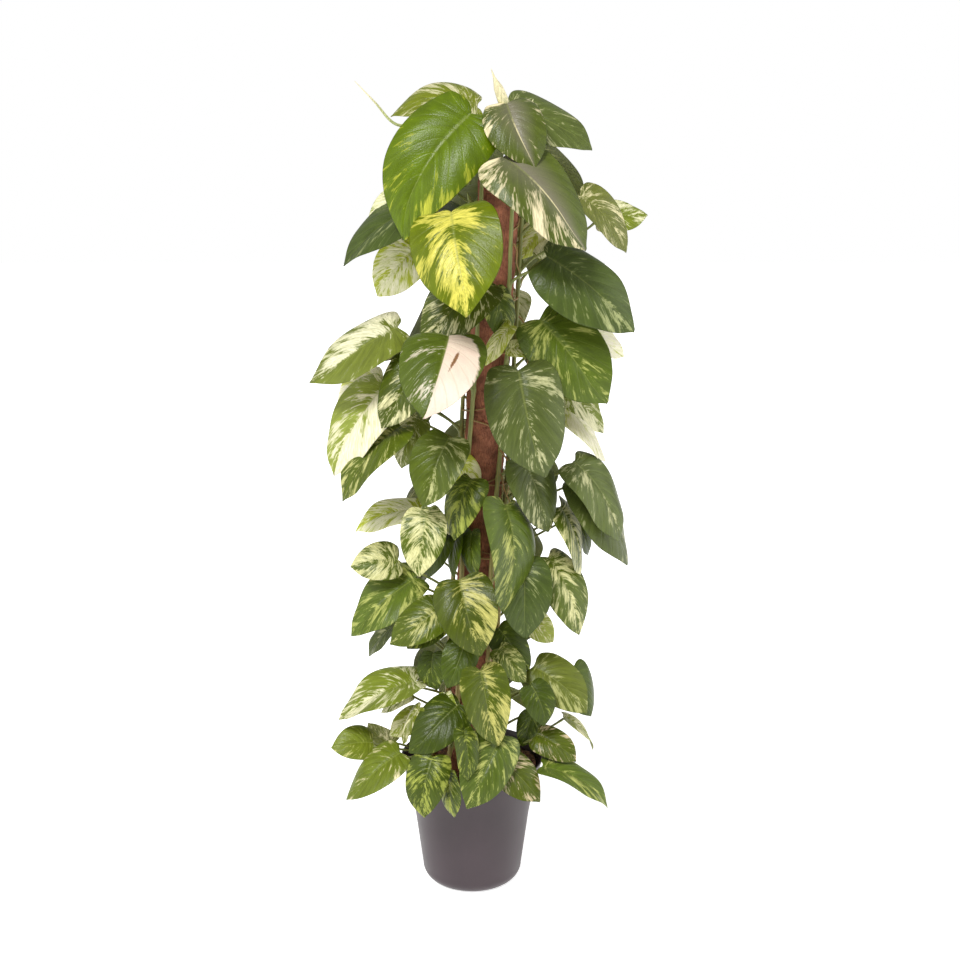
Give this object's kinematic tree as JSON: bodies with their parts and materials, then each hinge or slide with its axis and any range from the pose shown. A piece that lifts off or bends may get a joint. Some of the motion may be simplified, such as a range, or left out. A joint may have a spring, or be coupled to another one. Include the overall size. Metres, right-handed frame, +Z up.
{
  "type": "potted pothos plant",
  "caption": "Climbing pothos with heart-shaped, cream-streaked leaves round a coir-covered pole, growing in a smooth tapered grey-mauve plastic pot.",
  "frame": {"origin": "middle of the pot's flat underside, where it stands on the floor", "axes": "+Z up along the pot, -Y towards the plant's front, +X to the right as seen from the front"},
  "size_m": [0.5502, 0.4061, 1.4023],
  "materials": {
    "pot_plastic": "satin, smooth",
    "potting_soil": "moist crumbs of peat and bark",
    "stake_wood": "sawn, untreated",
    "coir": "rough fibre mat",
    "leaf": "glossy, streaked with cream and yellow"
  },
  "bodies": {
    "root": {"pot": "pot_plastic", "soil": "potting_soil", "pole_stake": "stake_wood", "coir_sleeve": "coir", "vine_front_left": "leaf", "vine_front_right": "leaf", "vine_left": "leaf", "vine_right": "leaf", "vine_back_left": "leaf", "vine_back_right": "leaf"}
  },
  "joints": []
}
